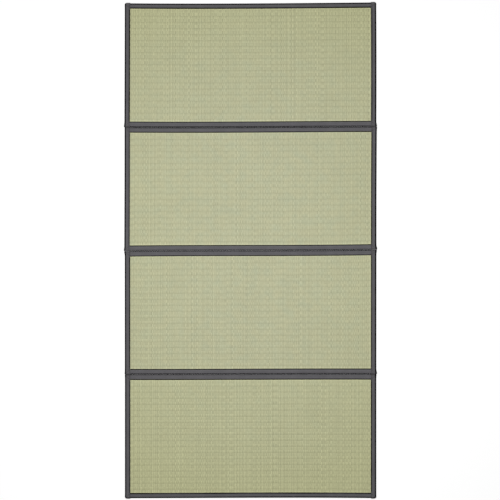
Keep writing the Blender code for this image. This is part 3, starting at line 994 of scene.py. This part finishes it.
def side_tape_rows(panel, side, seed):
    """Rows of the tape along a panel's side, its ends turned in and lapped over the cross tapes."""
    sign = -1.0 if side == "left" else 1.0
    swells = TAPE_ENDS[panel]
    top_shape = MAT_CORNER if panel == 0 else FOLD_CORNER
    bottom_shape = MAT_CORNER if panel == PANEL_COUNT - 1 else FOLD_CORNER
    ends = {
        "top": (getattr(swells, f"{side}_top") * MM, top_shape),
        "bottom": (getattr(swells, f"{side}_bottom") * MM, bottom_shape),
    }
    draws = np.random.default_rng(seed).uniform(0.0, 2.0 * math.pi, 4)
    middle = even_steps(END_ZONE, PANEL_PITCH - END_ZONE, TAPE_STEP)[1:-1]
    places = end_places(top_shape) + middle + [PANEL_PITCH - d for d in reversed(end_places(bottom_shape))]
    rows = []
    for q in places:
        nearest = "top" if q < PANEL_PITCH / 2 else "bottom"
        line = panel if nearest == "top" else panel + 1
        swell, shape = ends[nearest]
        distance = q if nearest == "top" else PANEL_PITCH - q
        lap = 1.0 - float(smooth_step((distance - LAP_LENGTH) / LAP_FADE))
        crown = TAPE_CROWN + (LAP_CROWN - TAPE_CROWN) * lap
        from_tip = distance + shape.stand_out
        swelling = swell * (1.0 - float(smooth_step(distance / SWELL_LENGTH)))
        outward = swelling - roundness(from_tip, shape.plan_round)
        lower = 1.0 - roundness(from_tip, shape.top_round) / crown
        d, z, flap = side_outside(q, distance, lap, crown, draws)
        turn_band = OUTER_TURN if side == "left" else RIGHT_TURN
        lip, turn = painted_cloth_shade(d, z, turn_band, getattr(SIDE_LIPS[panel], f"{side}_start"))
        # Painted shade: along the lip, over the turned edge, along the edge of the lap and at the tape's end
        painted_lap_shade = 0.45 * flap * np.exp(-(((distance - d) / (1.3 * MM)) ** 2)) * (z > ROUND_HEIGHT)
        tip_shade = TIP_SHADES[line] * (1.0 - float(smooth_step((from_tip - 4.0 * MM) / (2.5 * MM))))
        uneven = getattr(SIDE_LIPS[panel], side) * (0.92 + 0.08 * math.sin(q * SIDE_WAVES[2] + draws[2]))
        painted_lip_shade = lip * uneven * (1.0 - 0.75 * lap)
        outer_shade = np.maximum.reduce([painted_lip_shade, turn, painted_lap_shade, tip_shade * upper_half(z)])
        d = d - outward * (1.0 - d / TAPE_WIDTH)
        z = z * lower
        section = np.concatenate([np.stack([d, z], axis=-1), side_inside(distance)])
        shade = np.concatenate([outer_shade, np.ones(INSIDE_COUNT)])
        highlight = painted_light_at(section[:, 0], OUTER_PAINTED_LIGHT)
        weave = np.stack([np.full(len(section), q), around_lengths(section)], axis=-1)
        p = sign * (HALF_WIDTH - section[:, 0])
        rows.append((place(panel, p, np.full(len(section), q), section[:, 1]), weave, shade, highlight))
    return rows


def stitch_line_rows(panel, side):
    """Points along a tape's line of stitches, on the face of the cloth."""
    fall = (STITCH_INSET / TAPE_WIDTH / 0.5 - 1.0) ** FACE_CURVE
    level = TAPE_CROWN - (TAPE_CROWN - TAPE_LIP) * fall - 0.55 * PUCKER
    if side in ("top", "bottom"):
        half = HALF_WIDTH - TAPE_WIDTH - 3.0 * MM
        p = np.array(even_steps(-half, half, 12.0 * MM))
        from_end = GAP / 2 + STITCH_INSET
        q = np.full(len(p), from_end if side == "top" else PANEL_PITCH - from_end)
        return place(panel, p, q, level)
    sign = -1.0 if side == "left" else 1.0
    q = np.array(even_steps(4.0 * MM, PANEL_PITCH - 4.0 * MM, 6.0 * MM))
    p = np.full(len(q), sign * (HALF_WIDTH - STITCH_INSET))
    distance = np.minimum(q, PANEL_PITCH - q)
    lap = 1.0 - smooth_step((distance - LAP_LENGTH) / LAP_FADE)
    lapped = LAP_CROWN - (LAP_CROWN - LAP_LIP) * 0.45 - FLAP_DIP
    return place(panel, p, q, level + (lapped - level) * lap)


def thread_path(name, points):
    """A path of points joined by edges, for a tree to sew along."""
    mesh = bpy.data.meshes.new(name)
    mesh.from_pydata([tuple(point) for point in points], [(i, i + 1) for i in range(len(points) - 1)], [])
    return linked(name, mesh)


def one_stitch():
    """One stitch of unit length, width and height, its two ends going down into the cloth."""
    rings = ((-0.5, -0.9, 0.6), (-0.36, 0.0, 0.9), (0.0, 0.3, 1.0), (0.36, 0.0, 0.9), (0.5, -0.9, 0.6))
    sides = 6
    points = []
    for x, z, size in rings:
        for side in range(sides):
            turn = 2.0 * math.pi * side / sides
            points.append((x, 0.5 * size * math.cos(turn), z + 0.5 * size * math.sin(turn)))
    return mesh_object("one_stitch", points, tube_faces(len(rings), sides))


def stepped_path(bench, geometry, step):
    """The path as a curve with a point every step."""
    path = bench.add("GeometryNodeMeshToCurve", {0: geometry})
    values = {"Curve": path.outputs[0], "Length": step}
    return bench.add("GeometryNodeResampleCurve", values, mode="LENGTH").outputs[0]


def running_stitch_tree():
    """Stitches laid end to end along a path."""
    bench, start, end = new_tree(
        "running_stitch",
        "GeometryNodeTree",
        sockets("Geometry", "Geometry")
        + sockets("Object", "Stitch")
        + sockets("Float", "Pitch", "Length", "Thickness")
        + sockets("Int", "Seed")
        + sockets("Material", "Material"),
        sockets("Geometry", "Geometry"),
    )
    given = start.outputs
    places = stepped_path(bench, given["Geometry"], given["Pitch"])
    stitch = bench.add("GeometryNodeObjectInfo", {"Object": given["Stitch"]})
    tangent = bench.add("GeometryNodeInputTangent")
    turn = bench.add("FunctionNodeAlignRotationToVector", {"Vector": tangent.outputs[0]}, axis="X")
    vary = bench.add("FunctionNodeRandomValue", {2: 0.92, 3: 1.08, "Seed": given["Seed"]}, data_type="FLOAT")
    length = bench.times(given["Length"], vary.outputs[1])
    size = bench.vector(length, given["Thickness"], given["Thickness"])
    values = {
        "Points": places,
        "Instance": stitch.outputs["Geometry"],
        "Rotation": turn.outputs[0],
        "Scale": size,
    }
    laid = bench.add("GeometryNodeInstanceOnPoints", values)
    return clad(bench, end, laid.outputs[0], given["Material"])


def lacing_tree():
    """A thread that crosses from one edge to the other and back along a path."""
    bench, start, end = new_tree(
        "lacing",
        "GeometryNodeTree",
        sockets("Geometry", "Geometry")
        + sockets("Float", "Pitch", "Reach", "Dip", "Thickness", "Seed")
        + sockets("Material", "Material"),
        sockets("Geometry", "Geometry"),
    )
    given = start.outputs
    fine = stepped_path(bench, given["Geometry"], bench.math("DIVIDE", given["Pitch"], 10.0))
    along = bench.add("GeometryNodeSplineParameter").outputs["Length"]
    half = bench.times(given["Pitch"], 0.5)
    swing = bench.math("DIVIDE", bench.math("PINGPONG", along, half), half)
    swing = bench.minus(bench.times(swing, 2.0), 1.0)
    uneven = bench.cloud(bench.vector(bench.times(along, 120.0), given["Seed"]), 1.0, 1.0)
    reach = bench.times(given["Reach"], bench.plus(0.88, bench.times(uneven, 0.24)))
    across = bench.times(swing, reach)
    plunge = bench.math("POWER", bench.math("ABSOLUTE", swing), 6.0)
    height = bench.times(bench.times(plunge, given["Dip"]), -1.0)
    offset = bench.vector(0.0, across, height)
    laced = bench.add("GeometryNodeSetPosition", {"Geometry": fine, "Offset": offset})
    radius = bench.times(given["Thickness"], 0.5)
    ring = bench.add("GeometryNodeCurvePrimitiveCircle", {"Resolution": 6, "Radius": radius})
    values = {"Curve": laced.outputs[0], "Profile Curve": ring.outputs[0], "Fill Caps": True}
    tube = bench.add("GeometryNodeCurveToMesh", values)
    return clad(bench, end, tube.outputs[0], given["Material"])


def bind_panel(panel, cloth, thread, stitch, tree):
    """The four tapes of a panel, each with its line of stitches."""
    for number, side in enumerate(("top", "bottom", "left", "right")):
        seed = 10 * panel + number
        if side in ("top", "bottom"):
            node = f"cross_tape_{side}_{panel + 1}"
            rows = cross_tape_rows(panel, side, seed)
        else:
            node = f"side_tape_{side}_{panel + 1}"
            rows = side_tape_rows(panel, side, seed)
        tape = tape_piece(node.replace("tape", "binding"), cloth, rows)
        stitches = thread_path(f"topstitch_{side}_{panel + 1}", stitch_line_rows(panel, side))
        values = {
            "Stitch": stitch,
            "Pitch": STITCH_PITCH,
            "Length": STITCH_LENGTH,
            "Thickness": STITCH_THICKNESS,
            "Seed": seed,
            "Material": thread,
        }
        grown(stitches, tree, values)
        finish_piece(tape)
        finish_piece(stitches)
        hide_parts(node)


def lace_folds(thread, tree):
    """The threads that join each panel to the next, between their cross tapes."""
    half = HALF_WIDTH - TAPE_WIDTH - 2.0 * MM
    p = np.array(even_steps(-half, half, 20.0 * MM))
    for fold, lacing in enumerate(LACINGS):
        points = place(fold, p, np.full(len(p), PANEL_PITCH), lacing.height)
        lace = thread_path(f"fold_lacing_{fold + 1}", points)
        values = {
            "Pitch": LACE_PITCH,
            "Reach": lacing.reach,
            "Dip": LACE_DIP,
            "Thickness": LACE_THICKNESS,
            "Seed": 7.0 * fold,
            "Material": thread,
        }
        grown(lace, tree, values)
        finish_piece(lace)


def build_mat():
    rush = rush_material()
    cloth = cloth_material()
    sewing = thread_material("sewing_thread", SEWING_THREAD)
    lacing = thread_material("lacing_thread", LACING_THREAD)
    relief = rush_relief_tree()
    stitch = one_stitch()
    running = running_stitch_tree()
    for panel in range(PANEL_COUNT):
        cover = rush_cover(panel, relief, rush)
        bind_panel(panel, cloth, sewing, stitch, running)
    lace_folds(lacing, lacing_tree())
    bpy.data.objects.remove(stitch)


def build_floor():
    bpy.ops.mesh.primitive_plane_add(size=FLOOR_SIZE)
    floor = bpy.context.object
    floor.name = "floor"
    material, _, shader = blank_material("floor_white", 0.9, 0.0)
    shader.inputs["Base Color"].default_value = opaque(FLOOR_PALE)
    shader.inputs["Emission Color"].default_value = opaque(WHITE)
    shader.inputs["Emission Strength"].default_value = FLOOR_GLOW
    floor.data.materials.append(material)


def build_studio():
    """White floor, soft light from above, and the camera straight above the mat."""
    scene = bpy.context.scene
    scene.view_settings.view_transform = "Standard"
    world = bpy.data.worlds.new("studio")
    world.use_nodes = True
    background = world.node_tree.nodes["Background"]
    background.inputs["Color"].default_value = opaque(WHITE)
    background.inputs["Strength"].default_value = SKY_GLOW
    scene.world = world

    softbox = bpy.data.lights.new("softbox", "AREA")
    softbox.shape = "DISK"
    softbox.size = LAMP_SIZE
    softbox.energy = LAMP_POWER
    linked("softbox", softbox).location = LAMP_PLACE
    build_floor()

    camera = bpy.data.cameras.new("camera")
    camera.lens = LENS
    camera.sensor_width = SENSOR
    pixel = PICTURE_WIDTH / PICTURE_PIXELS
    distance = PICTURE_WIDTH * LENS / SENSOR
    scene.camera = linked("camera", camera)
    scene.camera.location = (
        CAMERA_SHIFT[0] * pixel - MIDDLE_X,
        CAMERA_SHIFT[1] * pixel - MIDDLE_Y,
        THICKNESS + distance,
    )


build_mat()
build_studio()
